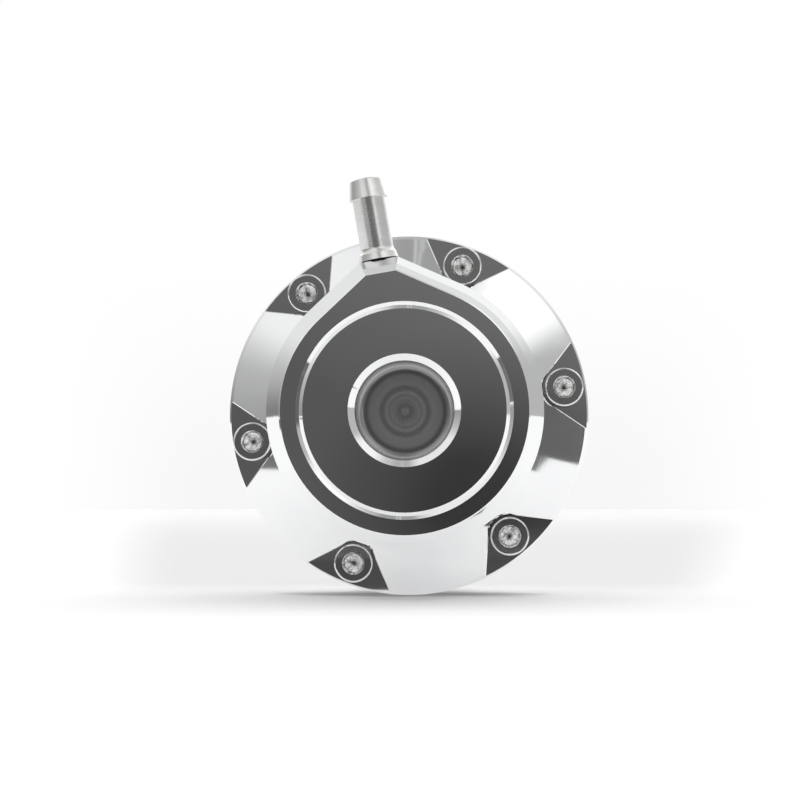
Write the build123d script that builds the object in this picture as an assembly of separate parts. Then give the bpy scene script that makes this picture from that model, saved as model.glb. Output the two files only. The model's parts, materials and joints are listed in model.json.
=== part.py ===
from build123d import *
from math import acos, atan2, cos, degrees, hypot, radians, sin, tan
import os

# Wastegate actuator with a machined cap, in millimetres.
# The actuator axis is Y. The origin is the middle of the housing's mounting face.
# The cap and its hose barb look towards -Y, the push rod comes out towards +Y, and +Z is up.

# Cap: outline and clamping
cap_clocking = 9.85           # degrees that the cap is turned, seen from its face, away from the studs
screw_count = 6
rim_radius = 40.0
screw_edge_distance = 5.0     # from the circle of the screws out to the rim
rim_chamfer = 0.7
clamp_edge_chamfer = 0.4
cap_height = 33.0             # from the boss face to the face that clamps the diaphragm
cap_flange_thickness = 5.0    # left under each pocket floor
slope_height = 3.0            # rise of the flange's sloping top, from the rim in to the boss

# Cap: raised boss with its spout
boss_rim_distance = 13.65     # from the edge of the boss face out to the rim
spout_overhang = 3.15         # how far the spout's flat end stands out past the boss circle
spout_face_width = 6.4
boss_facets = ((0.3, 24.0), (1.25, 42.0), (1.65, 52.0))   # width, and tilt from the face, in degrees

# Cap: recess, ring groove and screw pockets
recess_mouth_radius = 12.0
recess_mouth_width = 1.4      # slanting band round the mouth
recess_mouth_depth = 0.8
recess_depth = 6.0
recess_floor_fillet = 2.0
ring_groove_inset = 4.0       # from the edge of the boss face in to the middle of the groove
ring_groove_width = 1.5
ring_groove_depth = 0.35
pocket_half_angle = 43.3
pocket_head_gap = 0.45
pocket_rim_step = 0.35        # height of the pocket walls where they reach the rim
pocket_edge_break = 0.2

# Cap: air way
cavity_rim_distance = 14.0    # from the chamber's wall out to the rim
cavity_ceiling_depth = 13.0
cavity_corner_fillet = 3.0
port_depth = 7.4
air_bore_radius = 2.0
air_way_turn_radius = 17.0
port_seat_depth = 0.55

# Clamping screws
screw_radius = 2.5
screw_length = 12.0
screw_head_radius = 4.25
screw_head_height = 5.0
screw_head_edge_round = 0.4
screw_end_chamfer = 0.5
hex_across_flats = 4.0
hex_depth = 2.2
hex_mouth_chamfer = 0.15
drill_point_slope = 31.0      # degrees, under the hex socket
thread_clearance = 0.02
screw_hole_clearance = 0.25

# Hose barb
barb_thread_radius = 3.0
barb_thread_length = 6.0
barb_collar_radius = 4.3
barb_collar_height = 1.4
barb_collar_slant = 0.3
barb_collar_lift = 0.35       # gap under the collar that shows the seal
barb_flare_height = 1.2
barb_tube_radius = 3.55
barb_tube_length = 10.8
barb_shoulder_radius = 4.15
barb_tip_radius = 3.5
barb_cone_length = 4.2
barb_edge_break = 0.2
port_seal_section = 0.9

# Rolling diaphragm
diaphragm_thickness = 1.0
diaphragm_edge_gap = 0.3
diaphragm_roll_reach = 4.6    # how far the roll hangs below the clamp face at rest
diaphragm_roll_space = 3.8    # between the piston and the housing's bore
diaphragm_piston_gap = 0.15
diaphragm_bore_gap = 0.1

# Housing
housing_depth = 34.0
housing_flange_thickness = 8.0
housing_wall = 4.0
housing_fillet = 2.0
housing_rear_chamfer = 1.5
housing_rear_wall = 8.0
guide_boss_wall = 3.5
guide_boss_height = 5.0
breather_radius = 1.25
breather_spring_distance = 2.6   # from the breathers' circle out to the middle of the wire
breather_count = 4

# Rod guide
bush_wall = 2.5
bush_length = 9.0
bush_inner_chamfer = 0.4
wiper_width = 3.2
wiper_thickness = 2.2
wiper_lip = 0.6
wiper_heel = 1.7              # full-thickness ring under the retaining ring
wiper_hollow = 0.8
retaining_ring_thickness = 0.8
retaining_ring_bite = 0.5
retaining_ring_gap_angle = 40.0
retaining_ring_width = 1.6
running_clearance = 0.04

# Mounting studs
stud_spacing = 40.0
stud_radius = 3.0
stud_root_radius = 4.0        # stepped studs, with the thicker thread in the housing
stud_embedded = 6.0
stud_reach = 18.0
stud_end_chamfer = 0.8

# Moving assembly: piston, rod and rod end
stroke = 12.0
piston_lift = 7.0             # piston crown above the clamp face of the housing, at rest
piston_wall = 1.9
piston_crown = 2.6
piston_floor_gap = 2.0        # left under the skirt at full stroke
piston_corner_fillet = 2.5
piston_hub_radius = 10.0
piston_hub_height = 2.2
backing_washer_radius = 8.0
backing_washer_thickness = 1.5
retainer_inset = 4.7          # from the piston's edge in to the retainer's edge
retainer_thickness = 1.6
retainer_edge_fillet = 0.8
washer_radius = 6.0
washer_thickness = 1.0
nut_across_flats = 10.0
nut_height = 5.0
nut_corner_chamfer = 0.5
thread_past_nut = 1.2
rod_radius = 4.0
rod_thread_radius = 3.0
rod_thread_spare = 5.0        # thread that shows behind the lock nut
rod_thread_engagement = 10.0  # thread inside the rod end
rod_edge_chamfer = 0.5
eye_reach = 76.0              # mounting face to the middle of the rod end's eye, at rest
rod_end_barrel_radius = 6.0
rod_end_barrel_length = 16.0
eye_radius = 7.0
eye_bore_radius = 3.05
eye_thickness = 6.0
eye_flat_runout = 2.0
rod_end_hole_spare = 3.0      # tapped hole left past the end of the rod
eye_bore_chamfer = 0.4

# Spring and its seat
wire_radius = 1.5
spring_piston_gap = 2.4
spring_active_turns = 3.5
spring_end_turns = 1.0
spring_ground = 0.8           # how much of the wire is ground away at each end
coil_touch_gap = 0.05
spring_seat_thickness = 0.8
spring_seat_lip = 2.0
spring_seat_gap = 0.2

# Worked-out radii
screw_circle_radius = rim_radius - screw_edge_distance
boss_face_radius = rim_radius - boss_rim_distance
spout_face_reach = boss_face_radius + spout_overhang
ring_groove_radius = boss_face_radius - ring_groove_inset
cavity_radius = rim_radius - cavity_rim_distance
housing_bore_radius = cavity_radius + diaphragm_thickness
housing_body_radius = housing_bore_radius + housing_wall
piston_radius = housing_bore_radius - diaphragm_roll_space
retainer_radius = piston_radius - retainer_inset
spring_radius = piston_radius - piston_wall - spring_piston_gap - wire_radius
breather_circle_radius = spring_radius - breather_spring_distance
bush_radius = rod_radius + bush_wall
guide_boss_radius = bush_radius + guide_boss_wall
wiper_pocket_radius = rod_radius + wiper_width
threaded_hole_radius = rod_thread_radius + thread_clearance

# Worked-out places along the axis
clamp_y = -housing_depth
cap_clamp_y = clamp_y - diaphragm_thickness
face_y = cap_clamp_y - cap_height
chamber_floor_y = -housing_rear_wall
spring_seat_y = chamber_floor_y - spring_seat_thickness
crown_y = clamp_y - piston_lift
crown_inner_y = crown_y + piston_crown
hub_y = crown_inner_y + piston_hub_height
rod_shoulder_y = hub_y + backing_washer_thickness
skirt_y = chamber_floor_y - piston_floor_gap - stroke
diaphragm_top_y = crown_y - diaphragm_thickness
retainer_top_y = diaphragm_top_y - retainer_thickness
washer_y = retainer_top_y - washer_thickness
bush_start_y = chamber_floor_y - guide_boss_height
wiper_start_y = bush_start_y + bush_length
ring_start_y = wiper_start_y + wiper_thickness
rod_end_start_y = eye_reach - eye_radius - rod_end_barrel_length
lock_nut_y = rod_end_start_y - nut_height
barb_direction = 90.0 + cap_clocking
facet_steps = [(width, width * tan(radians(tilt))) for width, tilt in boss_facets]
boss_offset = sum(width for width, _ in facet_steps)
facet_depth = sum(height for _, height in facet_steps)
boss_radius = boss_face_radius + boss_offset
pocket_floor_depth = cap_height - cap_flange_thickness
slope_base_depth = pocket_floor_depth - pocket_rim_step
port_wall_reach = spout_face_reach + boss_offset


def turned(points):
    """Solid of revolution about the Y axis from (radius, y) corners."""
    return revolve(make_face(Polyline(*points, close=True)), Axis.Y)


def same(first, second):
    """Whether two sizes agree to within a hundredth of a millimetre."""
    return abs(first - second) < 0.01


def rim_edge(body, y):
    """Widest circular edge of a turned body at one station on the axis."""
    circles = body.edges().filter_by(GeomType.CIRCLE).filter_by(lambda edge: same(edge.center().Y, y))
    return circles.sort_by(lambda edge: edge.radius)[-1]


def tube(outer, inner, start_y, end_y):
    """Plain ring or bush between two stations on the axis."""
    return turned([(inner, start_y), (outer, start_y), (outer, end_y), (inner, end_y)])


def facing_cap(y):
    """Plane across the axis at y, seen from the cap: x to the right, y up, normal towards -Y."""
    return Plane.XZ.offset(-y)


def around(solid, count, start_angle):
    """Copies turned about the axis, with angles counted as they look from the cap."""
    return [solid.rotate(Axis.Y, -(start_angle + 360.0 * i / count)) for i in range(count)]


def screw_places(solid):
    """Copies of a solid modelled to the right of the axis, one at each clamping screw."""
    return around(solid, screw_count, cap_clocking)


def drill(radius, x, z, start_y, end_y):
    """Straight cutter parallel to the axis."""
    hole = facing_cap(end_y) * Pos(x, z) * Circle(radius)
    return extrude(hole, end_y - start_y)


# Cap

def spout_tangent_angle():
    """Direction, in degrees, in which the spout's sides leave the boss circle."""
    corner = (spout_face_width / 2, spout_face_reach)
    return degrees(atan2(corner[1], corner[0]) - acos(boss_face_radius / hypot(*corner)))


def boss_outline(offset):
    """Boss circle with its spout, drawn pointing up and grown by offset."""
    radius = boss_face_radius + offset
    reach = spout_face_reach + offset
    angle = radians(spout_tangent_angle())
    half_width = (radius - reach * sin(angle)) / cos(angle)
    right = (radius * cos(angle), radius * sin(angle))
    left = (-right[0], right[1])
    sides = Polyline(left, (-half_width, reach), (half_width, reach), right)
    round_side = ThreePointArc(right, (0, -radius), left)
    return Rot(0, 0, cap_clocking) * make_face(sides + round_side)


def boss():
    """Faceted boss: slanting bands from its face outwards, then an upright wall down to the flange."""
    solids = []
    depth = facet_depth
    offset = boss_offset
    for width, height in reversed(facet_steps):
        band = facing_cap(face_y + depth) * boss_outline(offset)
        solids.append(extrude(band, height, taper=degrees(atan2(width, height))))
        depth -= height
        offset -= width
    wall = facing_cap(face_y + pocket_floor_depth) * boss_outline(boss_offset)
    solids.append(extrude(wall, pocket_floor_depth - facet_depth))
    return solids


def cap_flange():
    """Flange with a gently sloping top, its seam midway between two screws."""
    slope_base_y = face_y + slope_base_depth
    blank = turned([
        (0, slope_base_y - slope_height),
        (boss_radius, slope_base_y - slope_height),
        (rim_radius - rim_chamfer, slope_base_y),
        (rim_radius, slope_base_y + rim_chamfer),
        (rim_radius, cap_clamp_y - clamp_edge_chamfer),
        (rim_radius - clamp_edge_chamfer, cap_clamp_y),
        (0, cap_clamp_y),
    ])
    return blank.rotate(Axis.Y, -(cap_clocking + 180.0 / screw_count))


def recess():
    """Blind recess in the face: slanting mouth, straight wall and a rounded floor edge."""
    wall_radius = recess_mouth_radius - recess_mouth_width
    floor_y = face_y + recess_depth
    outline = make_face(Polyline(
        (0, face_y),
        (recess_mouth_radius, face_y),
        (wall_radius, face_y + recess_mouth_depth),
        (wall_radius, floor_y),
        (0, floor_y),
        close=True,
    ))
    floor_corner = outline.vertices().group_by(Axis.Y)[-1].sort_by(Axis.X)[-1]
    return revolve(fillet(floor_corner, recess_floor_fillet), Axis.Y)


def ring_groove():
    """Shallow V-shaped groove round the recess."""
    return turned([
        (ring_groove_radius - ring_groove_width / 2, face_y),
        (ring_groove_radius, face_y + ring_groove_depth),
        (ring_groove_radius + ring_groove_width / 2, face_y),
    ])


def screw_pocket():
    """Pocket round one screw head, widening in a V to the rim, drawn to the right of the axis."""
    side = radians(pocket_half_angle)
    radius = screw_head_radius + pocket_head_gap
    apex = screw_circle_radius - radius / sin(side)
    far = rim_radius + rim_chamfer
    half_width = (far - apex) * tan(side)
    upper = (screw_circle_radius - radius * sin(side), radius * cos(side))
    lower = (upper[0], -upper[1])
    inner_end = ThreePointArc(lower, (screw_circle_radius - radius, 0), upper)
    sides = Polyline(upper, (far, half_width), (far, -half_width), lower)
    outline = facing_cap(face_y + pocket_floor_depth) * make_face(inner_end + sides)
    return extrude(outline, pocket_rim_step + slope_height)


def cap_cavity():
    """Pressure chamber above the diaphragm, with a rounded ceiling corner."""
    ceiling_y = face_y + cavity_ceiling_depth
    outline = make_face(Polyline(
        (0, cap_clamp_y),
        (cavity_radius, cap_clamp_y),
        (cavity_radius, ceiling_y),
        (0, ceiling_y),
        close=True,
    ))
    ceiling_corner = outline.vertices().group_by(Axis.Y)[0].sort_by(Axis.X)[-1]
    return revolve(fillet(ceiling_corner, cavity_corner_fillet), Axis.Y)


def toward_barb(solid):
    """Turns a solid modelled along +Z into the barb's direction, at the port's depth."""
    return Pos(0, face_y + port_depth, 0) * Rot(0, -(barb_direction - 90.0), 0) * solid


def air_way():
    """Port hole for the barb, its seal seat, and the drilling that turns down into the chamber."""
    thread_hole = Pos(0, 0, port_wall_reach - barb_thread_length - port_seal_section) * Cylinder(
        barb_thread_radius + thread_clearance, barb_thread_length + port_seal_section,
        align=(Align.CENTER, Align.CENTER, Align.MIN))
    bore = Pos(0, 0, air_way_turn_radius - air_bore_radius) * Cylinder(
        air_bore_radius, port_wall_reach - air_way_turn_radius,
        align=(Align.CENTER, Align.CENTER, Align.MIN))
    seat = Pos(0, 0, port_wall_reach - port_seat_depth) * Cylinder(
        barb_thread_radius + port_seal_section, port_seat_depth,
        align=(Align.CENTER, Align.CENTER, Align.MIN))
    turn = Pos(0, 0, air_way_turn_radius) * Rot(-90, 0, 0) * Cylinder(
        air_bore_radius, cavity_ceiling_depth - port_depth + cavity_corner_fillet,
        align=(Align.CENTER, Align.CENTER, Align.MIN))
    return toward_barb(thread_hole + bore + seat + turn)


def pocket_edges(body):
    """Edges where the straight walls of the pockets meet the sloping top of the flange."""
    slope = body.faces().filter_by(GeomType.CONE).sort_by(lambda face: face.area)[-1]
    return slope.edges().filter_by(GeomType.HYPERBOLA)


def cap():
    body = cap_flange()
    for pocket in screw_places(screw_pocket()):
        body -= pocket
    body = chamfer(pocket_edges(body), pocket_edge_break)
    for solid in boss():
        body += solid
    hole = drill(screw_radius + screw_hole_clearance, screw_circle_radius, 0,
                 face_y + pocket_floor_depth, cap_clamp_y)
    for solid in screw_places(hole):
        body -= solid
    return body - recess() - ring_groove() - cap_cavity() - air_way()


# Clamping screws

def cap_screw():
    """Socket cap screw to the right of the axis, seated on its pocket floor."""
    seat_y = face_y + pocket_floor_depth
    top_y = seat_y - screw_head_height
    body = turned([
        (0, top_y),
        (screw_head_radius, top_y),
        (screw_head_radius, seat_y),
        (screw_radius, seat_y),
        (screw_radius, seat_y + screw_length - screw_end_chamfer),
        (screw_radius - screw_end_chamfer, seat_y + screw_length),
        (0, seat_y + screw_length),
    ])
    body = fillet(rim_edge(body, top_y), screw_head_edge_round)
    corner_radius = hex_across_flats / 2 / cos(radians(30))
    point_y = top_y + hex_depth
    socket = extrude(facing_cap(point_y) * RegularPolygon(corner_radius, 6), hex_depth)
    mouth_radius = corner_radius + hex_mouth_chamfer
    mouth = turned([(0, top_y), (mouth_radius, top_y), (0, top_y + mouth_radius)])
    point_radius = hex_across_flats / 2
    point_depth = point_radius * tan(radians(drill_point_slope))
    point = turned([(0, point_y), (point_radius, point_y), (0, point_y + point_depth)])
    return Pos(screw_circle_radius, 0, 0) * (body - socket - mouth - point)


# Hose barb and its seal

def hose_barb():
    """Turned fitting: thread, slanted collar, flare, tube and one barb, bored through."""
    base = port_wall_reach + barb_collar_lift
    collar_top = base + barb_collar_height
    tube_start = collar_top + barb_flare_height
    shoulder = tube_start + barb_tube_length
    tip = shoulder + barb_cone_length
    start = port_wall_reach - barb_thread_length
    collar_edge = (barb_collar_radius - barb_collar_slant, collar_top)
    outline = Polyline(
        collar_edge,
        (barb_collar_radius, base),
        (barb_thread_radius, base),
        (barb_thread_radius, start),
        (air_bore_radius, start),
        (air_bore_radius, tip),
        (barb_tip_radius - barb_edge_break, tip),
        (barb_tip_radius, tip - barb_edge_break),
        (barb_shoulder_radius, shoulder),
        (barb_tube_radius, shoulder),
        (barb_tube_radius, tube_start),
    )
    flare = TangentArc((barb_tube_radius, tube_start), collar_edge, tangent=(0, -1))
    return toward_barb(Rot(90, 0, 0) * revolve(make_face(outline + flare), Axis.Y))


def port_seal():
    """Rubber ring in the seat under the barb's collar."""
    section = Circle((port_seat_depth + barb_collar_lift) / 2 - running_clearance / 2)
    middle = barb_thread_radius + port_seal_section / 2
    height = port_wall_reach + (barb_collar_lift - port_seat_depth) / 2
    ring = revolve(Pos(middle, height) * section, Axis.Y)
    return toward_barb(Rot(90, 0, 0) * ring)


# Rolling diaphragm

def diaphragm():
    """Clamped flange, a roll hanging between the bore and the piston, and a disc on the crown."""
    wall = diaphragm_thickness
    outer_wall = housing_bore_radius - diaphragm_bore_gap
    inner_wall = piston_radius + diaphragm_piston_gap
    roll_outer = (outer_wall - inner_wall) / 2
    roll_middle = (outer_wall + inner_wall) / 2
    roll_y = clamp_y + diaphragm_roll_reach - roll_outer
    outline = Polyline((threaded_hole_radius, crown_y), (inner_wall - piston_corner_fillet, crown_y))
    shoulder = JernArc((inner_wall - piston_corner_fillet, crown_y), (1, 0), piston_corner_fillet, 90)
    inner_drop = Line(shoulder @ 1, (inner_wall, roll_y))
    roll = ThreePointArc((inner_wall, roll_y), (roll_middle, roll_y + roll_outer), (outer_wall, roll_y))
    flange = Polyline(
        (outer_wall, roll_y),
        (outer_wall, clamp_y),
        (rim_radius - diaphragm_edge_gap, clamp_y),
        (rim_radius - diaphragm_edge_gap, cap_clamp_y),
        (outer_wall - wall, cap_clamp_y),
        (outer_wall - wall, roll_y),
    )
    inner_roll = ThreePointArc(
        (outer_wall - wall, roll_y), (roll_middle, roll_y + roll_outer - wall), (inner_wall + wall, roll_y))
    back = Line((inner_wall + wall, roll_y), (inner_wall + wall, crown_y + piston_corner_fillet))
    top_corner = JernArc(back @ 1, (0, -1), piston_corner_fillet + wall, -90)
    top = Polyline(top_corner @ 1, (threaded_hole_radius, diaphragm_top_y), (threaded_hole_radius, crown_y))
    body = revolve(make_face(
        outline + shoulder + inner_drop + roll + flange + inner_roll + back + top_corner + top), Axis.Y)
    hole = drill(screw_radius + screw_hole_clearance, screw_circle_radius, 0, cap_clamp_y, clamp_y)
    for solid in screw_places(hole):
        body -= solid
    return body


# Housing

def housing():
    """Turned canister: tapped flange, spring chamber with a guide boss, studs' holes and breathers."""
    body = turned([
        (0, clamp_y),
        (rim_radius - clamp_edge_chamfer, clamp_y),
        (rim_radius, clamp_y + clamp_edge_chamfer),
        (rim_radius, clamp_y + housing_flange_thickness - rim_chamfer),
        (rim_radius - rim_chamfer, clamp_y + housing_flange_thickness),
        (housing_body_radius, clamp_y + housing_flange_thickness),
        (housing_body_radius, -housing_rear_chamfer),
        (housing_body_radius - housing_rear_chamfer, 0),
        (0, 0),
    ])
    flange_root = body.edges().filter_by(GeomType.CIRCLE).filter_by(
        lambda edge: same(edge.radius, housing_body_radius)
        and same(edge.center().Y, clamp_y + housing_flange_thickness))
    body = fillet(flange_root, housing_fillet)
    chamber = turned([
        (0, clamp_y),
        (housing_bore_radius, clamp_y),
        (housing_bore_radius, chamber_floor_y),
        (guide_boss_radius, chamber_floor_y),
        (guide_boss_radius, bush_start_y),
        (0, bush_start_y),
    ])
    body -= chamber
    body -= drill(bush_radius, 0, 0, bush_start_y, 0)
    body -= drill(wiper_pocket_radius, 0, 0, wiper_start_y, 0)
    body -= drill(wiper_pocket_radius + retaining_ring_bite, 0, 0,
                  ring_start_y, ring_start_y + retaining_ring_thickness)
    tapped = drill(screw_radius + thread_clearance, screw_circle_radius, 0,
                   clamp_y, clamp_y + housing_flange_thickness)
    for solid in screw_places(tapped):
        body -= solid
    for side in (-1, 1):
        body -= drill(stud_root_radius + thread_clearance, side * stud_spacing / 2, 0, -stud_embedded, 0)
    breather = drill(breather_radius, breather_circle_radius, 0, chamber_floor_y, 0)
    for solid in around(breather, breather_count, 180.0 / breather_count):
        body -= solid
    return body


# Rod guide: bush, wiper and retaining ring

def rod_bush():
    inner = rod_radius + running_clearance
    return turned([
        (inner + bush_inner_chamfer, bush_start_y),
        (bush_radius, bush_start_y),
        (bush_radius, wiper_start_y),
        (inner + bush_inner_chamfer, wiper_start_y),
        (inner, wiper_start_y - bush_inner_chamfer),
        (inner, bush_start_y + bush_inner_chamfer),
    ])


def rod_wiper():
    """Rubber ring with a hollowed outer face and a lip at the rod."""
    inner = rod_radius + running_clearance
    lip = inner + wiper_lip
    return turned([
        (inner, wiper_start_y + wiper_lip),
        (lip, wiper_start_y),
        (wiper_pocket_radius, wiper_start_y),
        (wiper_pocket_radius, ring_start_y),
        (wiper_pocket_radius - wiper_heel, ring_start_y),
        (wiper_pocket_radius - wiper_heel, ring_start_y - wiper_hollow),
        (lip, ring_start_y - wiper_hollow),
        (inner, ring_start_y - wiper_lip),
    ])


def retaining_ring():
    """Open spring ring in its groove, just outside the wiper."""
    end_y = ring_start_y + retaining_ring_thickness
    outer = wiper_pocket_radius + retaining_ring_bite
    ring = tube(outer, outer - retaining_ring_width, ring_start_y, end_y)
    half_gap = outer * sin(radians(retaining_ring_gap_angle / 2))
    gap = facing_cap(end_y) * Pos(0, -outer) * Rectangle(2 * half_gap, outer)
    return ring - extrude(gap, retaining_ring_thickness)


# Mounting studs

def mounting_stud(x):
    """Stepped stud, its shoulder level with the mounting face."""
    body = turned([
        (0, -stud_embedded),
        (stud_root_radius - stud_end_chamfer, -stud_embedded),
        (stud_root_radius, -stud_embedded + stud_end_chamfer),
        (stud_root_radius, 0),
        (stud_radius, 0),
        (stud_radius, stud_reach - stud_end_chamfer),
        (stud_radius - stud_end_chamfer, stud_reach),
        (0, stud_reach),
    ])
    return Pos(x, 0, 0) * body


# Spring and its seat

def spring_path(closed_height, active_height, pitch):
    """Helix about Z: a closed turn, the active turns and another closed turn."""
    active_turn = 360.0 * spring_end_turns
    last_turn = active_turn + 360.0 * spring_active_turns
    lower = Helix(pitch=pitch, height=closed_height, radius=spring_radius)
    active = Pos(0, 0, closed_height) * Rot(0, 0, active_turn) * Helix(
        pitch=active_height / spring_active_turns, height=active_height, radius=spring_radius)
    upper = Pos(0, 0, closed_height + active_height) * Rot(0, 0, last_turn) * Helix(
        pitch=pitch, height=closed_height, radius=spring_radius)
    return Wire(lower.edges() + active.edges() + upper.edges())


def spring():
    """Compression spring between the piston crown and its seat, with closed and ground ends."""
    length = spring_seat_y - crown_inner_y
    pitch = 2 * wire_radius + coil_touch_gap
    closed_height = pitch * spring_end_turns
    path_height = length - 2 * (wire_radius - spring_ground)
    path = spring_path(closed_height, path_height - 2 * closed_height, pitch)
    section = Plane(origin=path @ 0, z_dir=path % 0) * Circle(wire_radius)
    coil = Pos(0, crown_inner_y + wire_radius - spring_ground, 0) * Rot(-90, 0, 0) * sweep(section, path)
    return coil & tube(spring_radius + 2 * wire_radius, spring_radius - 2 * wire_radius,
                       crown_inner_y, spring_seat_y)


def spring_seat():
    """Pressed washer on the chamber floor, with a lip round the guide boss inside the spring."""
    inner = guide_boss_radius + spring_seat_gap
    lip_radius = inner + spring_seat_thickness
    outer = spring_radius + 2 * wire_radius
    return turned([
        (inner, chamber_floor_y),
        (outer, chamber_floor_y),
        (outer, spring_seat_y),
        (lip_radius, spring_seat_y),
        (lip_radius, spring_seat_y - spring_seat_lip),
        (inner, spring_seat_y - spring_seat_lip),
    ]) - breather_reliefs()


def breather_reliefs():
    """Holes in the spring seat over the breathers."""
    relief = drill(breather_radius, breather_circle_radius, 0, spring_seat_y, chamber_floor_y)
    return around(relief, breather_count, 180.0 / breather_count)


# Moving assembly

def piston():
    """Thin cup under the diaphragm, with a short hub for the rod."""
    body = turned([
        (threaded_hole_radius, crown_y),
        (piston_radius, crown_y),
        (piston_radius, skirt_y),
        (piston_radius - piston_wall, skirt_y),
        (piston_radius - piston_wall, crown_inner_y),
        (piston_hub_radius, crown_inner_y),
        (piston_hub_radius, hub_y),
        (threaded_hole_radius, hub_y),
    ])
    return fillet(rim_edge(body, crown_y), piston_corner_fillet)


def retainer_plate():
    """Round-edged plate that clamps the diaphragm onto the piston."""
    body = tube(retainer_radius, threaded_hole_radius, retainer_top_y, diaphragm_top_y)
    return fillet(rim_edge(body, retainer_top_y), retainer_edge_fillet)


def sealing_washer():
    """Washer under the piston's nut."""
    return tube(washer_radius, threaded_hole_radius, washer_y, retainer_top_y)


def backing_washer():
    """Washer between the piston's hub and the rod's shoulder."""
    return tube(backing_washer_radius, threaded_hole_radius, hub_y, rod_shoulder_y)


def hex_nut(start_y, end_y):
    """Nut with both faces turned back at the corners."""
    corner_radius = nut_across_flats / 2 / cos(radians(30))
    prism = extrude(facing_cap(end_y) * RegularPolygon(corner_radius, 6), end_y - start_y)
    chamfered = turned([
        (0, start_y),
        (corner_radius - nut_corner_chamfer, start_y),
        (corner_radius + nut_corner_chamfer, start_y + nut_corner_chamfer),
        (corner_radius + nut_corner_chamfer, end_y - nut_corner_chamfer),
        (corner_radius - nut_corner_chamfer, end_y),
        (0, end_y),
    ])
    return (prism & chamfered) - drill(threaded_hole_radius, 0, 0, start_y, end_y)


def rod():
    """Push rod: threaded spigot through the piston, guided shank, and the outer thread."""
    inner_end = washer_y - nut_height - thread_past_nut
    thread_start = lock_nut_y - rod_thread_spare
    outer_end = rod_end_start_y + rod_thread_engagement
    return turned([
        (0, inner_end),
        (rod_thread_radius - rod_edge_chamfer, inner_end),
        (rod_thread_radius, inner_end + rod_edge_chamfer),
        (rod_thread_radius, rod_shoulder_y),
        (rod_radius, rod_shoulder_y),
        (rod_radius, thread_start - rod_edge_chamfer),
        (rod_radius - rod_edge_chamfer, thread_start),
        (rod_thread_radius, thread_start),
        (rod_thread_radius, outer_end - rod_edge_chamfer),
        (rod_thread_radius - rod_edge_chamfer, outer_end),
        (0, outer_end),
    ])


def rod_end():
    """Bar turned down to a tapped barrel, with two flats milled to leave a round-ended eye."""
    start = rod_end_start_y
    tip = eye_reach + eye_radius
    barrel_end = eye_reach - eye_radius
    shoulder_start = barrel_end - (eye_radius - rod_end_barrel_radius)
    bar = turned([
        (0, start),
        (rod_end_barrel_radius - rod_edge_chamfer, start),
        (rod_end_barrel_radius, start + rod_edge_chamfer),
        (rod_end_barrel_radius, shoulder_start),
        (eye_radius, barrel_end),
        (eye_radius, tip),
        (0, tip),
    ])
    side_view = Rectangle(eye_reach - start, 2 * eye_radius, align=(Align.MIN, Align.CENTER))
    side_view = Plane.YZ * (Pos(start, 0) * side_view + Pos(eye_reach, 0) * Circle(eye_radius))
    body = bar & extrude(side_view, eye_radius, both=True)
    flat_start = shoulder_start - eye_flat_runout
    flat = Box(eye_radius, tip - flat_start, 2 * eye_radius, align=(Align.MIN, Align.MIN, Align.CENTER))
    inner_corner = flat.edges().filter_by(Axis.Z).group_by(Axis.Y)[0].sort_by(Axis.X)[0]
    flat = Pos(eye_thickness / 2, flat_start, 0) * fillet(inner_corner, eye_flat_runout)
    body -= [flat, mirror(flat, about=Plane.YZ)]
    body -= drill(threaded_hole_radius, 0, 0, start, start + rod_thread_engagement + rod_end_hole_spare)
    bore = Plane.YZ * Pos(eye_reach, 0) * Circle(eye_bore_radius)
    body -= extrude(bore, eye_thickness, both=True)
    bore_rims = body.edges().filter_by(GeomType.CIRCLE).filter_by(lambda edge: same(edge.radius, eye_bore_radius))
    return chamfer(bore_rims, eye_bore_chamfer)


def lock_nut():
    """Jam nut that holds the rod end where the length was set."""
    return hex_nut(lock_nut_y, rod_end_start_y)


def piston_nut():
    """Nut that clamps the diaphragm between the retainer and the piston."""
    return hex_nut(washer_y - nut_height, washer_y)


def cap_screws():
    return Compound(children=screw_places(cap_screw()))


def mounting_studs():
    return Compound(children=[mounting_stud(side * stud_spacing / 2) for side in (-1, 1)])


PARTS = {
    "cap": cap,
    "cap_screws": cap_screws,
    "hose_barb": hose_barb,
    "port_seal": port_seal,
    "diaphragm": diaphragm,
    "housing": housing,
    "rod_bush": rod_bush,
    "rod_wiper": rod_wiper,
    "retaining_ring": retaining_ring,
    "mounting_studs": mounting_studs,
    "spring": spring,
    "spring_seat": spring_seat,
    "piston": piston,
    "retainer_plate": retainer_plate,
    "sealing_washer": sealing_washer,
    "piston_nut": piston_nut,
    "backing_washer": backing_washer,
    "rod": rod,
    "lock_nut": lock_nut,
    "rod_end": rod_end,
}


def main():
    os.makedirs("parts", exist_ok=True)
    for name, make in PARTS.items():
        export_step(make(), f"parts/{name}.step")


if __name__ == "__main__":
    main()
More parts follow.
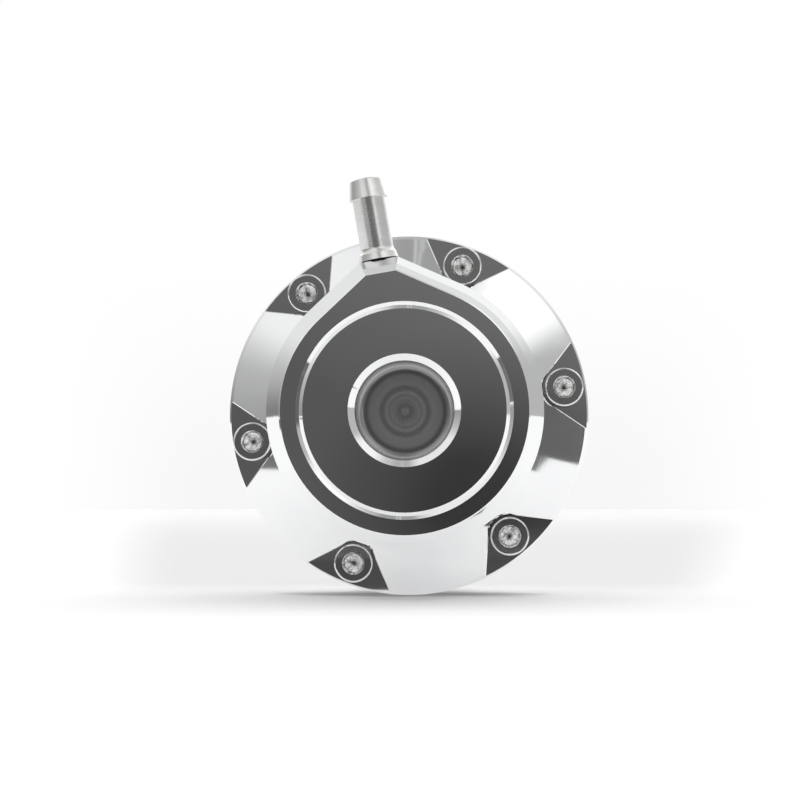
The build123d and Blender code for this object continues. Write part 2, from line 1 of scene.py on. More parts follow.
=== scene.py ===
import bpy
import json
from math import cos, pi, radians, sin
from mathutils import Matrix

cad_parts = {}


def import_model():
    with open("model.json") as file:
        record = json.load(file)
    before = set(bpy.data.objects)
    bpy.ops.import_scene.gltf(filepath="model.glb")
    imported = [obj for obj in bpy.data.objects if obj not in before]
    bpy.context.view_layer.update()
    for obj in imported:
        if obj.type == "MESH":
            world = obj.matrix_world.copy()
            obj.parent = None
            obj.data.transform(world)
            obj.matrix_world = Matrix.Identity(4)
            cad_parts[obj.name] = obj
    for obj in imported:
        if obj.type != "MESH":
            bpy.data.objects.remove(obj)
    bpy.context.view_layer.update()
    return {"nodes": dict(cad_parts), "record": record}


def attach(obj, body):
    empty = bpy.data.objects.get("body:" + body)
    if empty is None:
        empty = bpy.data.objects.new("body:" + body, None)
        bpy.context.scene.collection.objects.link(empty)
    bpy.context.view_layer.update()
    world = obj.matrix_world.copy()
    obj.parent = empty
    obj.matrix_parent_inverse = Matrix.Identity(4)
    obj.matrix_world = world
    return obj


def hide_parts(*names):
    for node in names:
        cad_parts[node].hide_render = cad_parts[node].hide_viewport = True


MM = 0.001
DEGREE = pi / 180
WHITE = (1.0, 1.0, 1.0, 1.0)

# Places on the part, in metres and degrees
FACE_Y = -68.0 * MM
RECESS_RADIUS = 10.6 * MM
SCREW_CIRCLE = 35.0 * MM
SCREW_SPACING = 60.0
CAP_CLOCKING = 9.85
FULL_TURN = 360.0

# Where the recess is dull, as a start and an end: across its rim, down from its mouth, and up from the
# chamber behind it. Then its rounded corner, where shade is painted in, by radius and by depth, and its wall.
RECESS_RIM = (RECESS_RADIUS + 0.2 * MM, RECESS_RADIUS - 0.1 * MM)
RECESS_TOP = (FACE_Y + 1.2 * MM, FACE_Y + 3.0 * MM)
RECESS_END = (FACE_Y + 9.0 * MM, FACE_Y + 8.0 * MM)
SHADED_CORNER_RADII = (7.4 * MM, 8.8 * MM)
SHADED_CORNER_DEPTHS = (FACE_Y + 4.0 * MM, FACE_Y + 5.2 * MM)
WALL_RADII = (9.4 * MM, 10.3 * MM)

# Distances from a screw's axis over which the bright inside of its socket starts and the painted shade in its
# drill point darkens
SOCKET_EDGE = (2.55 * MM, 2.4 * MM)
DRILL_POINT_SHADE_EDGE = (1.1 * MM, 0.1 * MM)

# Scales of the noises, per metre
CAP_MARKS = 2600.0
RECESS_RINGS = 1100.0
TURNED_DRIFT = 60.0
PLAIN_DRIFT = 90.0
SCREW_GRAIN = 4000.0
SCREW_WEAR = 900.0
BARB_MARKS = 5000.0
BARB_DRIFT = 220.0
RUBBER_GRAIN = 2500.0

# Parts of a noise's range: nearly all of it, its middle, and those that wear and weave use
WIDE = (0.3, 0.7)
MIDDLE = (0.35, 0.65)
WEAR = (0.4, 0.52)
WEAVE = (0.2, 0.8)

# M6 thread, in millimetres. The flat crest and the flanks are shares of half a pitch.
THREAD_CREST = 3.0
THREAD_ROOT = 2.39
THREAD_PITCH = 1.0
CREST_SHARE = 0.125
FLANK_SHARE = 0.625
THREAD_SEGMENTS = 40
ROWS_PER_PITCH = 10
SHARP_EDGE = 40.0

# Outlines of the threaded pieces along Y: place and radius in millimetres, and whether a thread starts there
STUD_OUTLINE = (
    (-6.0, 3.2, False), (-5.2, 4.0, False), (0.0, 4.0, False), (0.0, 3.0, True), (17.2, 3.0, True),
    (18.0, 2.2, False))
STUD_PLACES = (-20.0, 20.0)
ROD_OUTLINE = (
    (-50.8, 2.5, True), (-50.3, 3.0, True), (-34.7, 3.0, False), (-34.7, 4.0, False), (42.5, 4.0, False),
    (43.0, 3.5, False), (43.0, 3.0, True), (62.5, 3.0, True), (63.0, 2.5, False))

# Camera, fitted to the photograph's circles at their different depths
CAMERA_PLACE = (17.1 * MM, -565.3 * MM, -19.3 * MM)
CAMERA_TURN = (pi / 2 + 0.0431, 0.0, 0.0362)
FOCAL_LENGTH = 106.2
SENSOR_WIDTH = 36.0
VIEW_END = 20.0

# Floor: height and half width
GROUND = -40.0 * MM
FLOOR_HALF = 6.0

# Painted soft shadow on the ground round the object: drift of its middle along Y, half width at the object and
# at the floor's end, its soft side edge as shares of that half width, and where it fades in front and behind
SHADOW_DRIFT = -0.02
SHADOW_HALF = (0.07, 0.85)
SHADOW_SIDES = (1.25, 0.8)
SHADOW_FRONT = (-0.09, 0.05)
SHADOW_BACK = (3.3, 0.1)
SHADOW_BEHIND = 0.46

# Floor's level as the camera sees it, far from the object and in the painted soft shadow near it, and its
# level to all other light. Then its glow in mirrors, and the shade close under the object: reach, span of
# openness, and darkest shade.
PALE_FAR = 1.22
PALE_IN_SHADOW = 0.94
LIT_LEVEL = 0.5
MIRROR_GLOW = 0.6
CONTACT_REACH = 0.012
CONTACT_RANGE = (0.4, 1.0)
CONTACT_SHADE = 0.55
CONTACT_SAMPLES = 8

# Front edge of the white floor: bend and tongue by distance from the middle, and start and slant on the left
# and on the right. Then the levels of the dark ground before it, by distance from the middle, and that panel's
# left, right, front and back edge and its height above the floor.
EDGE_BEND = 0.095
TONGUE_SIDES = (0.091, 0.085)
TONGUE_LENGTH = 0.048
EDGE_SIDES = (-0.01, 0.01)
EDGE_STARTS = (0.14, 0.1455)
EDGE_SLANTS = (-0.7, -1.25)
EDGE_SOFTNESS = (0.001, -0.001)
FRONT_LEVELS = (0.03, 0.12, 0.07, 0.18)
FRONT_CARD = (-2.0, 2.0, -2.5, -0.13)
ABOVE_FLOOR = 0.5 * MM

# Standing cards: two points on the floor, height of the top, its soft part, and level
STANDING_CARDS = {
    "right_card": ((0.128, -0.225), (0.165, -0.201), 38 * MM, 16 * MM, 0.13),
    # The low card is a dark sheet standing in for the shade on the floor just in front of the rim, which the
    # lower pockets mirror.
    "low_shade_card": ((-0.03, -0.07), (0.03, -0.07), -33 * MM, 0.5 * MM, 0.07),
}

# Card round the camera: place along Y, half width, and how far right of the axis and below it the lens is.
# Then the levels by distance from the lens and by height, and how much a place to the right counts as height.
CARD_Y = -1.0
CARD_HALF = 0.42
LENS_OFFSETS = (17 * MM, 19 * MM)
LENS_LEVELS = (30 * MM, 110 * MM, 0.04, 0.1)
RISE_LEVELS = (0.0, 90 * MM, 0.0, 0.05)
RISE_ACROSS = 0.5

# Studio tent's lights. Turns are in degrees round the line of view, from the right and over the top: start,
# end and the soft width on either side. Levels change with the way back: from, to, and the level at each.
LIGHTS = {
    "right": ((42.0, 56.0, 16.0, 22.0), (-0.83, -0.1, 0.75, 0.0)),
    "overhead": ((45.0, 78.0, 25.0, 8.0), (-0.6, 0.3, 0.0, 0.5)),
    "left": ((110.0, 144.0, 16.0, 20.0), (-0.83, -0.4, 0.46, 0.34)),
}
TENT_LEVEL = 0.5
REAR_START = (0.35, 0.7)
REAR_LEVEL = 0.5
LEFT_LOSS_TURNS = (160.0, 180.0)
LEFT_LOSS_LEVELS = (-0.83, -0.1, 0.12, 0.28)
NARROW_HEADINGS = (29.0, 37.0, 8.0, 10.0)
NARROW_HEIGHTS = (-0.05, 0.12, 0.08, 0.08)
NARROW_LEVEL = 1.4
SEAM_PARTS = (
    ((88.7, 89.1, 0.4, 0.4), 0.25), ((90.3, 90.7, 0.4, 0.4), 0.3), ((82.0, 97.0, 5.0, 4.0), -0.14))
SEAM_FRONT = (-0.4, -0.65)
MATT_LEVELS = (-0.6, 0.6, 0.15, 1.8)

# Faint painted shade on the white that the camera sees behind the object: middle, soft sides, soft top and
# depth
BACKDROP_SHADE_MIDDLE = 0.03
BACKDROP_SHADE_SIDES = (0.156, 0.084)
BACKDROP_SHADE_TOP = (0.11, 0.0)
BACKDROP_SHADE_DEPTH = 0.07


# Node helpers

def new_material(name):
    """Empty node material and its node tree."""
    material = bpy.data.materials.new(name)
    material.use_nodes = True
    tree = material.node_tree
    tree.nodes.clear()
    return material, tree


def set_input(tree, socket, value):
    """Links another node's output to the socket, or sets its value."""
    if isinstance(value, bpy.types.NodeSocket):
        tree.links.new(value, socket)
    else:
        socket.default_value = value


def add_node(tree, kind, inputs=(), **settings):
    """Node of that kind. Each input is a value, or an output socket to link from."""
    node = tree.nodes.new(kind)
    for key, value in settings.items():
        setattr(node, key, value)
    for key, value in dict(inputs).items():
        set_input(tree, node.inputs[key], value)
    return node


def math_node(tree, operation, first, second=0.0):
    return add_node(tree, "ShaderNodeMath", {0: first, 1: second}, operation=operation).outputs[0]


def product(tree, first, *others):
    for other in others:
        first = math_node(tree, "MULTIPLY", first, other)
    return first


def total(tree, first, *others):
    for other in others:
        first = math_node(tree, "ADD", first, other)
    return first


def difference(tree, first, second):
    return math_node(tree, "SUBTRACT", first, second)


def distance(tree, first, second):
    """Length of the vector that has these two components."""
    return math_node(tree, "SQRT", total(tree, product(tree, first, first), product(tree, second, second)))


def mapped(tree, value, low, high, out_low, out_high):
    """Value's range stretched in a straight line to the second range, and held at its ends."""
    return add_node(tree, "ShaderNodeMapRange", {
        "Value": value, "From Min": low, "From Max": high, "To Min": out_low, "To Max": out_high},
    ).outputs["Result"]


def smooth_step(tree, value, low, high):
    """0 at low and 1 at high, with soft ends. High may be the smaller of the two."""
    return add_node(tree, "ShaderNodeMapRange", {"Value": value, "From Min": low, "From Max": high},
                    interpolation_type="SMOOTHSTEP").outputs["Result"]


def band(tree, value, low, high, soft_low, soft_high):
    """1 between low and high, fading out over the soft widths on either side."""
    rise = smooth_step(tree, value, low - soft_low, low)
    fall = smooth_step(tree, value, high + soft_high, high)
    return product(tree, rise, fall)


def mixed_colour(tree, factor, first, second):
    """Colour between the first, at factor 0, and the second, at factor 1."""
    node = add_node(tree, "ShaderNodeMix", data_type="RGBA")
    for socket, value in zip((0, 6, 7), (factor, first, second)):
        set_input(tree, node.inputs[socket], (*value, 1.0) if isinstance(value, tuple) else value)
    return node.outputs[2]


def toned(tree, value, span, first, second):
    """Colour that goes from the first to the second while the value crosses the span."""
    return mixed_colour(tree, mapped(tree, value, *span, 0.0, 1.0), first, second)


def noise(tree, vector, scale=1.0, detail=3.0, roughness=0.55):
    return add_node(tree, "ShaderNodeTexNoise", {
        "Vector": vector, "Scale": scale, "Detail": detail, "Roughness": roughness}).outputs["Fac"]


def object_place(tree):
    return add_node(tree, "ShaderNodeTexCoord").outputs["Object"]


def split(tree, vector):
    """The vector's X, Y and Z."""
    outputs = add_node(tree, "ShaderNodeSeparateXYZ", {0: vector}).outputs
    return outputs["X"], outputs["Y"], outputs["Z"]


def lathe_place(tree, along, across=0.0):
    """Vector that changes with the distance from the Y axis and the place along it, for turning marks."""
    x, y, z = split(tree, object_place(tree))
    return add_node(tree, "ShaderNodeCombineXYZ", {
        "X": product(tree, distance(tree, x, z), along),
        "Y": product(tree, y, along),
        "Z": product(tree, math_node(tree, "ARCTAN2", z, x), across),
    }).outputs[0]


def bump(tree, height, depth, under=None):
    """Normal bumped by that height. It can be added to the bump under it."""
    inputs = {"Height": height, "Distance": depth, "Strength": 1.0}
    if under:
        inputs["Normal"] = under
    return add_node(tree, "ShaderNodeBump", inputs).outputs[0]


def metal_shader(tree, colour, roughness, normal, anisotropy=0.0):
    return add_node(tree, "ShaderNodeBsdfPrincipled", {
        "Base Color": colour, "Metallic": 1.0, "Roughness": roughness, "Anisotropic": anisotropy,
        "Normal": normal})


def glow_shader(tree, strength):
    return add_node(tree, "ShaderNodeEmission", {"Color": WHITE, "Strength": strength})


def card_shader(tree, shown, level):
    """Glow of that level where the card is shown, and nothing elsewhere."""
    glow = glow_shader(tree, level)
    clear = add_node(tree, "ShaderNodeBsdfTransparent")
    return add_node(tree, "ShaderNodeMixShader", {0: shown, 1: clear.outputs[0], 2: glow.outputs[0]})


def finish_material(material, tree, shader):
    add_node(tree, "ShaderNodeOutputMaterial", {"Surface": shader.outputs[0]})
    return material


# Materials

def recess_colour(tree, from_axis, y, rings):
    """Dull colour of the recess: turned floor, rounded corner darkened with painted shade, and lighter wall.
    """
    turned = toned(tree, rings, MIDDLE, (0.43, 0.43, 0.44), (0.46, 0.46, 0.47))
    # Painted shade: the rounded corner of the recess is coloured darker.
    painted_shade_in_corner = product(tree, smooth_step(tree, from_axis, *SHADED_CORNER_RADII),
                        smooth_step(tree, y, *SHADED_CORNER_DEPTHS))
    with_painted_shade = mixed_colour(tree, painted_shade_in_corner, turned, (0.28, 0.28, 0.285))
    return mixed_colour(tree, smooth_step(tree, from_axis, *WALL_RADII), with_painted_shade, (0.72, 0.72, 0.725))


def cap_metal(name):
    """Machined and polished aluminium, left as turned inside the blind recess of its face."""
    material, tree = new_material(name)
    x, y, z = split(tree, object_place(tree))
    from_axis = distance(tree, x, z)
    dull = product(tree, smooth_step(tree, from_axis, *RECESS_RIM), smooth_step(tree, y, *RECESS_TOP),
                   smooth_step(tree, y, *RECESS_END))
    marks = noise(tree, lathe_place(tree, CAP_MARKS), detail=4.0, roughness=0.65)
    rings = noise(tree, lathe_place(tree, RECESS_RINGS), detail=0.0, roughness=0.5)
    drift = noise(tree, object_place(tree), TURNED_DRIFT, detail=2.0)
    wander = total(tree, product(tree, marks, 0.5), product(tree, drift, 0.5))
    polished = mapped(tree, wander, *WIDE, 0.03, 0.08)
    as_turned = mapped(tree, rings, *WIDE, 0.28, 0.36)
    bright = toned(tree, drift, WIDE, (0.89, 0.895, 0.905), (0.93, 0.935, 0.94))
    colour = mixed_colour(tree, dull, bright, recess_colour(tree, from_axis, y, rings))
    fine = bump(tree, marks, depth=0.0002 * MM)
    coarse = bump(tree, product(tree, rings, dull), depth=0.0006 * MM, under=fine)
    roughness = mapped(tree, dull, 0.0, 1.0, polished, as_turned)
    return finish_material(material, tree, metal_shader(tree, colour, roughness, coarse))


def turned_metal(name, colour, darker, roughness, mark_scale, mark_depth, anisotropy):
    """Metal with fine turning marks round Y, faint tone drift and a roughness that wanders."""
    material, tree = new_material(name)
    marks = noise(tree, lathe_place(tree, mark_scale, across=0.6), detail=4.0, roughness=0.65)
    drift = noise(tree, object_place(tree), TURNED_DRIFT, detail=2.0)
    wander = total(tree, product(tree, marks, 0.5), product(tree, drift, 0.5))
    return finish_material(material, tree, metal_shader(
        tree, toned(tree, drift, WIDE, darker, colour), mapped(tree, wander, *WIDE, *roughness),
        bump(tree, marks, mark_depth), anisotropy))


def plain_metal(name, colour, darker, roughness, grain_scale, grain_depth):
    """Metal without a lathe's marks: plated, drawn or sintered."""
    material, tree = new_material(name)
    grain = noise(tree, object_place(tree), grain_scale, detail=5.0, roughness=0.6)
    drift = noise(tree, object_place(tree), PLAIN_DRIFT, detail=2.0)
    return finish_material(material, tree, metal_shader(
        tree, toned(tree, drift, MIDDLE, darker, colour), mapped(tree, grain, *WIDE, *roughness),
        bump(tree, grain, grain_depth)))


def from_screw_axis(tree):
    """Distance from the axis of the nearest cap screw. The added full turn keeps the angle positive."""
    x, _, z = split(tree, object_place(tree))
    radius = distance(tree, x, z)
    half_spacing = SCREW_SPACING / 2
    turn = total(tree, math_node(tree, "ARCTAN2", z, x), radians(half_spacing - CAP_CLOCKING + FULL_TURN))
    apart = difference(tree, math_node(tree, "MODULO", turn, radians(SCREW_SPACING)), radians(half_spacing))
    outward = difference(tree, product(tree, radius, math_node(tree, "COSINE", apart)), SCREW_CIRCLE)
    return distance(tree, outward, product(tree, radius, math_node(tree, "SINE", apart)))


def screw_metal(name):
    """Satin steel, worn bright inside the hex socket, with painted shade in the bottom of its drill point."""
    material, tree = new_material(name)
    from_axis = from_screw_axis(tree)
    inside = smooth_step(tree, from_axis, *SOCKET_EDGE)
    # Painted shade: the bottom of the socket's drill point is coloured nearly black.
    drill_point_shade = smooth_step(tree, from_axis, *DRILL_POINT_SHADE_EDGE)
    grain = noise(tree, object_place(tree), SCREW_GRAIN, detail=5.0, roughness=0.6)
    wear = noise(tree, object_place(tree), SCREW_WEAR, detail=4.0, roughness=0.75)
    outer = toned(tree, wear, MIDDLE, (0.76, 0.755, 0.75), (0.82, 0.815, 0.81))
    bright = toned(tree, wear, WEAR, (0.45, 0.445, 0.44), (0.98, 0.975, 0.97))
    colour = mixed_colour(tree, drill_point_shade, mixed_colour(tree, inside, outer, bright), (0.06, 0.06, 0.06))
    smooth = mapped(tree, grain, *WIDE, 0.08, 0.13)
    worn = mapped(tree, wear, *WIDE, 0.14, 0.3)
    roughness = add_node(tree, "ShaderNodeMix", {0: inside, 2: smooth, 3: worn}).outputs[0]
    height = total(tree, product(tree, grain, 0.02), product(tree, wear, inside, 0.5))
    return finish_material(material, tree, metal_shader(
        tree, colour, roughness, bump(tree, height, depth=0.02 * MM)))


def barb_metal(name):
    """Satin steel with fine turning marks round the barb's own axis."""
    material, tree = new_material(name)
    x, _, z = split(tree, object_place(tree))
    clocking = radians(CAP_CLOCKING)
    along = difference(tree, product(tree, z, cos(clocking)), product(tree, x, sin(clocking)))
    ring = add_node(tree, "ShaderNodeCombineXYZ", {0: product(tree, along, BARB_MARKS)}).outputs[0]
    marks = noise(tree, ring, detail=4.0, roughness=0.7)
    drift = noise(tree, object_place(tree), BARB_DRIFT)
    return finish_material(material, tree, metal_shader(
        tree, toned(tree, drift, MIDDLE, (0.78, 0.775, 0.765), (0.87, 0.865, 0.86)),
        mapped(tree, marks, *WIDE, 0.2, 0.3), bump(tree, marks, depth=0.002 * MM)))


def woven(tree, scale):
    """Height of a plain weave in the plane across Y."""
    warp, weft = (add_node(tree, "ShaderNodeTexWave", {
        "Vector": object_place(tree), "Scale": scale, "Distortion": 0.4}, bands_direction=way).outputs[1]
        for way in "XZ")
    return product(tree, warp, weft)


def rubber(name, colour, lighter, weave_scale=0.0):
    """Matt rubber with fine grain, or with the weave of its cloth showing."""
    material, tree = new_material(name)
    grain = noise(tree, object_place(tree), RUBBER_GRAIN, detail=4.0)
    height = woven(tree, weave_scale) if weave_scale else grain
    return finish_material(material, tree, add_node(tree, "ShaderNodeBsdfPrincipled", {
        "Base Color": toned(tree, height, WEAVE, colour, lighter),
        "Roughness": mapped(tree, grain, *WIDE, 0.62, 0.8), "Normal": bump(tree, height, depth=0.03 * MM)}))


def all_materials():
    """One material for each slot that the record names."""
    return {
        "polished_aluminium": cap_metal("polished_aluminium"),
        "turned_aluminium": turned_metal(
            "turned_aluminium", colour=(0.77, 0.775, 0.785), darker=(0.64, 0.645, 0.655),
            roughness=(0.24, 0.4), mark_scale=3600.0, mark_depth=0.004 * MM, anisotropy=0.3),
        "screw_steel": screw_metal("screw_steel"),
        "barb_metal": barb_metal("barb_metal"),
        "black_rubber": rubber("black_rubber", colour=(0.012, 0.012, 0.012), lighter=(0.035, 0.035, 0.035)),
        "diaphragm_rubber": rubber(
            "diaphragm_rubber", colour=(0.02, 0.02, 0.022), lighter=(0.07, 0.07, 0.075), weave_scale=900.0),
        "bush_bronze": plain_metal(
            "bush_bronze", colour=(0.62, 0.44, 0.22), darker=(0.5, 0.33, 0.15), roughness=(0.34, 0.5),
            grain_scale=2200.0, grain_depth=0.01 * MM),
        "spring_steel": plain_metal(
            "spring_steel", colour=(0.36, 0.36, 0.37), darker=(0.27, 0.27, 0.28), roughness=(0.26, 0.42),
            grain_scale=800.0, grain_depth=0.003 * MM),
        "zinc_steel": plain_metal(
            "zinc_steel", colour=(0.72, 0.73, 0.75), darker=(0.62, 0.63, 0.66), roughness=(0.2, 0.38),
            grain_scale=500.0, grain_depth=0.003 * MM),
        "rod_steel": turned_metal(
            "rod_steel", colour=(0.66, 0.66, 0.665), darker=(0.55, 0.55, 0.56), roughness=(0.16, 0.3),
            mark_scale=3000.0, mark_depth=0.002 * MM, anisotropy=0.2),
    }


def dress_nodes(frame, materials):
    """Gives every solid the material of its slot."""
    for part in frame["record"]["subparts"]:
        node = frame["nodes"][part["node"]]
        material = materials[part["material_slot"]]
        if not node.material_slots:
            node.data.materials.append(material)
        for slot in node.material_slots:
            slot.material = material


# Threaded pieces

def thread_radius(y, turn):
    """Radius of a V thread with flat crests and roots, at a place along Y and a share of a turn."""
    from_crest = abs((y / THREAD_PITCH - turn) % 1.0 - 0.5) * 2.0
    flank = min(1.0, max(0.0, (from_crest - CREST_SHARE) / FLANK_SHARE))
    return THREAD_CREST - flank * (THREAD_CREST - THREAD_ROOT)


def stations(outline):
    """Outline's places, with close rows added along each stretch that carries the thread."""
    rows = []
    for (y, radius, threaded), (next_y, next_radius, _) in zip(outline, outline[1:]):
        count = max(1, round((next_y - y) / THREAD_PITCH * ROWS_PER_PITCH)) if threaded else 1
        for i in range(count):
            share = i / count
            rows.append((y + share * (next_y - y), radius + share * (next_radius - radius), threaded))
    return rows + [outline[-1]]


def add_turned(vertices, faces, outline, x):
    """Adds a closed turned piece with its axis parallel to Y, where the thread cuts into the outline."""
    first = len(vertices)
    rows = stations(outline)
    for y, radius, threaded in rows:
        for j in range(THREAD_SEGMENTS):
            turn = j / THREAD_SEGMENTS
            r = min(radius, thread_radius(y, turn)) if threaded else radius
            vertices.append(((x + r * sin(2 * pi * turn)) * MM, y * MM, r * cos(2 * pi * turn) * MM))
    ends = (len(vertices), len(vertices) + 1)
    vertices += [(x * MM, rows[0][0] * MM, 0.0), (x * MM, rows[-1][0] * MM, 0.0)]
    last = first + (len(rows) - 1) * THREAD_SEGMENTS
    for j in range(THREAD_SEGMENTS):
        k = (j + 1) % THREAD_SEGMENTS
        for row in range(first, last, THREAD_SEGMENTS):
            faces.append((row + j, row + k, row + THREAD_SEGMENTS + k, row + THREAD_SEGMENTS + j))
        faces.append((ends[0], first + k, first + j))
        faces.append((ends[1], last + j, last + k))


def threaded_piece(name, outline, places, material):
    """Piece with its cut threads, one copy at each place along X."""
    vertices = []
    faces = []
    for x in places:
        add_turned(vertices, faces, outline, x)
    mesh = bpy.data.meshes.new(name)
    mesh.from_pydata(vertices, [], faces)
    mesh.shade_smooth()
    mesh.set_sharp_from_angle(angle=radians(SHARP_EDGE))
    piece = bpy.data.objects.new(name, mesh)
    piece.data.materials.append(material)
    bpy.context.scene.collection.objects.link(piece)
    return piece


def add_threads(materials):
    """Studs and rod with their threads, in place of the plain solids."""
    studs = threaded_piece("threaded_studs", STUD_OUTLINE, STUD_PLACES, materials["zinc_steel"])
    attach(studs, "actuator_body")
    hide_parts("mounting_studs")
    rod = threaded_piece("threaded_rod", ROD_OUTLINE, (0.0,), materials["rod_steel"])
    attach(rod, "rod_assembly")
    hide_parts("rod")


# Camera, floor and cards

def camera():
    """The photograph's view: almost straight on, a little from the right and from just below the axis."""
    data = bpy.data.cameras.new("camera")
    data.lens = FOCAL_LENGTH
    data.sensor_width = SENSOR_WIDTH
    data.clip_end = VIEW_END
    view = bpy.data.objects.new("camera", data)
    bpy.context.scene.collection.objects.link(view)
    view.location = CAMERA_PLACE
    view.rotation_euler = CAMERA_TURN
    bpy.context.scene.camera = view


def sheet_object(name, corners, material):
    """Flat stage panel through these corners."""
    mesh = bpy.data.meshes.new(name)
    mesh.from_pydata(corners, [], [tuple(range(len(corners)))])
    panel = bpy.data.objects.new(name, mesh)
    panel.data.materials.append(material)
    bpy.context.scene.collection.objects.link(panel)
    return panel


def level_corners(left, right, front, back, height):
    return [(left, front, height), (right, front, height), (right, back, height), (left, back, height)]


def painted_shadow_ground(tree):
    """1 on the painted soft shadow round and behind the object, fading to 0 at its sides, in front and far
    behind.
    """
    x, y, _ = split(tree, object_place(tree))
    sideways = math_node(tree, "ABSOLUTE", difference(tree, x, product(tree, y, SHADOW_DRIFT)))
    spread = mapped(tree, y, 0.0, FLOOR_HALF, *SHADOW_HALF)
    beside = smooth_step(tree, math_node(tree, "DIVIDE", sideways, spread), *SHADOW_SIDES)
    back = mapped(tree, smooth_step(tree, y, *SHADOW_BACK), 0.0, 1.0, SHADOW_BEHIND, 1.0)
    return product(tree, smooth_step(tree, y, *SHADOW_FRONT), back, beside)


def floor_material():
    """Matt floor, with a painted soft shadow round the object and shaded close under it. Camera and mirrors
    see it lifted.
    """
    material, tree = new_material("floor")
    path = add_node(tree, "ShaderNodeLightPath")
    seen = path.outputs["Is Camera Ray"]
    # Painted shadow: the floor's colour is greyer round and behind the object.
    pale = mapped(tree, painted_shadow_ground(tree), 0.0, 1.0, PALE_FAR, PALE_IN_SHADOW)
    level = total(tree, product(tree, seen, difference(tree, pale, LIT_LEVEL)), LIT_LEVEL)
    openness = add_node(tree, "ShaderNodeAmbientOcclusion", {"Distance": CONTACT_REACH},
                        samples=CONTACT_SAMPLES).outputs["AO"]
    level = product(tree, level, mapped(tree, openness, *CONTACT_RANGE, CONTACT_SHADE, 1.0))
    colour = add_node(tree, "ShaderNodeCombineColor", {0: level, 1: level, 2: level})
    matt = add_node(tree, "ShaderNodeBsdfDiffuse", {"Color": colour.outputs[0]})
    glow = glow_shader(tree, product(tree, path.outputs["Is Glossy Ray"], MIRROR_GLOW))
    return finish_material(material, tree, add_node(tree, "ShaderNodeAddShader", {
        0: matt.outputs[0], 1: glow.outputs[0]}))


def floor():
    corners = level_corners(-FLOOR_HALF, FLOOR_HALF, -FLOOR_HALF, FLOOR_HALF, GROUND)
    sheet_object("floor", corners, floor_material())


def unseen(panel):
    """Leaves a panel to reflections alone."""
    panel.visible_camera = False
    panel.visible_shadow = False
    panel.visible_diffuse = False


def front_edge(tree, x, sideways):
    """Place along Y where the white floor ends in front. It bends away at both sides and in the middle."""
    beyond = math_node(tree, "MAXIMUM", difference(tree, sideways, EDGE_BEND), 0.0)
    tongue = product(tree, smooth_step(tree, sideways, *TONGUE_SIDES), TONGUE_LENGTH)
    slant = mapped(tree, x, *EDGE_SIDES, *EDGE_SLANTS)
    start = mapped(tree, x, *EDGE_SIDES, *EDGE_STARTS)
    return difference(tree, product(tree, beyond, slant), total(tree, tongue, start))


def front_floor_card():
    """Dark ground in front of the white floor, which the flange mirrors."""
    material, tree = new_material("front_floor")
    x, y, _ = split(tree, object_place(tree))
    sideways = math_node(tree, "ABSOLUTE", x)
    past_edge = smooth_step(tree, difference(tree, y, front_edge(tree, x, sideways)), *EDGE_SOFTNESS)
    finish_material(material, tree, card_shader(tree, past_edge, mapped(tree, sideways, *FRONT_LEVELS)))
    unseen(sheet_object("front_floor_card", level_corners(*FRONT_CARD, GROUND + ABOVE_FLOOR), material))


def standing_card(name, left, right, top, soft, level):
    """Dark upright card on the floor between two points, its top fading out over the soft height."""
    material, tree = new_material(name)
    height = split(tree, object_place(tree))[2]
    shown = smooth_step(tree, height, top, top - soft)
    finish_material(material, tree, card_shader(tree, shown, level))
    unseen(sheet_object(name, [(*left, GROUND), (*right, GROUND), (*right, top), (*left, top)], material))


def camera_side_card():
    """Dark card round the camera, darkest round the lens and paler upwards, which the flat faces mirror."""
    material, tree = new_material("camera_side")
    x, _, z = split(tree, object_place(tree))
    across = difference(tree, x, LENS_OFFSETS[0])
    from_lens = distance(tree, across, total(tree, z, LENS_OFFSETS[1]))
    near = mapped(tree, from_lens, *LENS_LEVELS)
    over = mapped(tree, total(tree, z, product(tree, across, RISE_ACROSS)), *RISE_LEVELS)
    finish_material(material, tree, glow_shader(tree, total(tree, near, over)))
    low, high = -CARD_HALF, CARD_HALF
    unseen(sheet_object("camera_side_card", [
        (low, CARD_Y, low), (high, CARD_Y, low), (high, CARD_Y, high), (low, CARD_Y, high)], material))


# Light

def narrow_light(tree, x, y, z):
    """Narrow light to the right of the camera for the barb's highlight."""
    heading = product(tree, math_node(tree, "ARCTAN2", x, product(tree, y, -1.0)), 1 / DEGREE)
    return product(tree, band(tree, heading, *NARROW_HEADINGS), band(tree, z, *NARROW_HEIGHTS), NARROW_LEVEL)


def seam(tree, turn, back):
    """Two thin bright streaks and a dim gap between the overhead lights, low in front."""
    parts = [product(tree, band(tree, turn, *turns), level) for turns, level in SEAM_PARTS]
    return product(tree, total(tree, *parts), smooth_step(tree, back, *SEAM_FRONT))


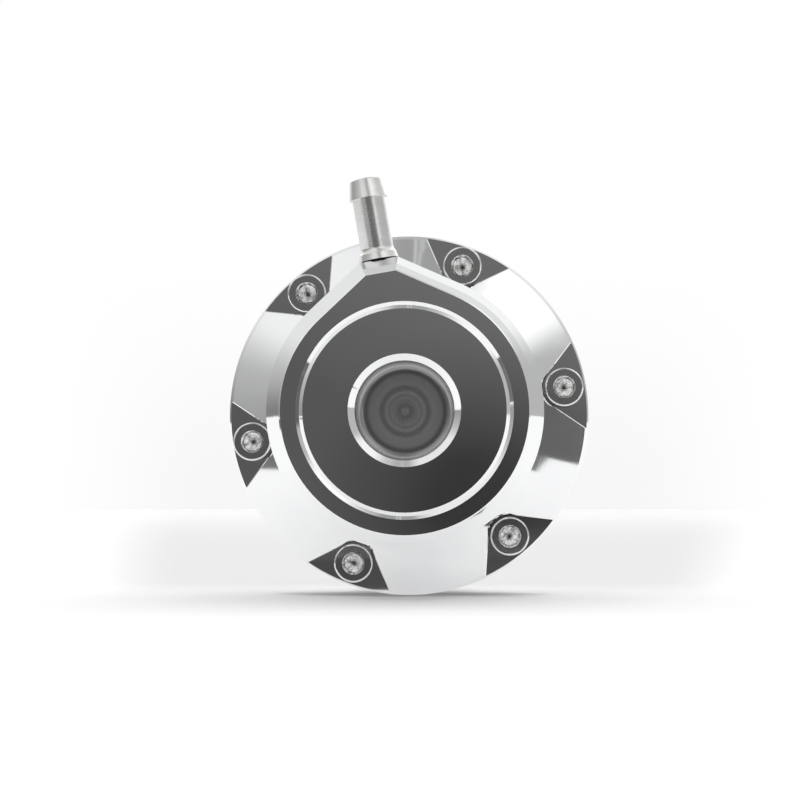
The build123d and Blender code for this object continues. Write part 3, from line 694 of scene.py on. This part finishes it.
def tent_level(tree, x, y, z):
    """Brightness of the studio tent in each direction: grey sides, broad soft lights and their seam."""
    turn = product(tree, math_node(tree, "ARCTAN2", z, x), 1 / DEGREE)
    lights = [product(tree, band(tree, turn, *turns), mapped(tree, y, *levels))
              for turns, levels in LIGHTS.values()]
    rear = product(tree, smooth_step(tree, y, *REAR_START), REAR_LEVEL)
    loss = product(tree, smooth_step(tree, turn, *LEFT_LOSS_TURNS), mapped(tree, y, *LEFT_LOSS_LEVELS))
    sides = difference(tree, TENT_LEVEL, loss)
    return total(tree, sides, *lights, rear, narrow_light(tree, x, y, z), seam(tree, turn, y))


def seen_white(tree, x, z):
    """White with a faint painted shade behind the object."""
    aside = math_node(tree, "ABSOLUTE", total(tree, x, BACKDROP_SHADE_MIDDLE))
    # Painted shade: the white is a little darker just behind the object.
    painted_backdrop_shade = product(tree, smooth_step(tree, aside, *BACKDROP_SHADE_SIDES), smooth_step(tree, z, *BACKDROP_SHADE_TOP))
    return difference(tree, 1.0, product(tree, painted_backdrop_shade, BACKDROP_SHADE_DEPTH))


def world():
    """White for the camera, and the studio tent for all else. Matt surfaces get more of it from behind."""
    scene = bpy.context.scene
    scene.world = bpy.data.worlds.new("world")
    scene.world.use_nodes = True
    tree = scene.world.node_tree
    tree.nodes.clear()
    x, y, z = split(tree, add_node(tree, "ShaderNodeTexCoord").outputs["Generated"])
    path = add_node(tree, "ShaderNodeLightPath")
    seen = path.outputs["Is Camera Ray"]
    from_behind = difference(tree, mapped(tree, y, *MATT_LEVELS), 1.0)
    for_matt = total(tree, 1.0, product(tree, path.outputs["Is Diffuse Ray"], from_behind))
    level = product(tree, tent_level(tree, x, y, z), for_matt)
    strength = total(tree, product(tree, seen, seen_white(tree, x, z)),
                     product(tree, level, difference(tree, 1.0, seen)))
    background = add_node(tree, "ShaderNodeBackground", {"Color": WHITE, "Strength": strength})
    add_node(tree, "ShaderNodeOutputWorld", {"Surface": background.outputs[0]})


def build_stage():
    bpy.context.scene.view_settings.view_transform = "Standard"
    camera()
    floor()
    world()
    camera_side_card()
    front_floor_card()
    for name, card in STANDING_CARDS.items():
        standing_card(name, *card)


# Part and stage together

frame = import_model()
finishes = all_materials()
dress_nodes(frame, finishes)
add_threads(finishes)
build_stage()
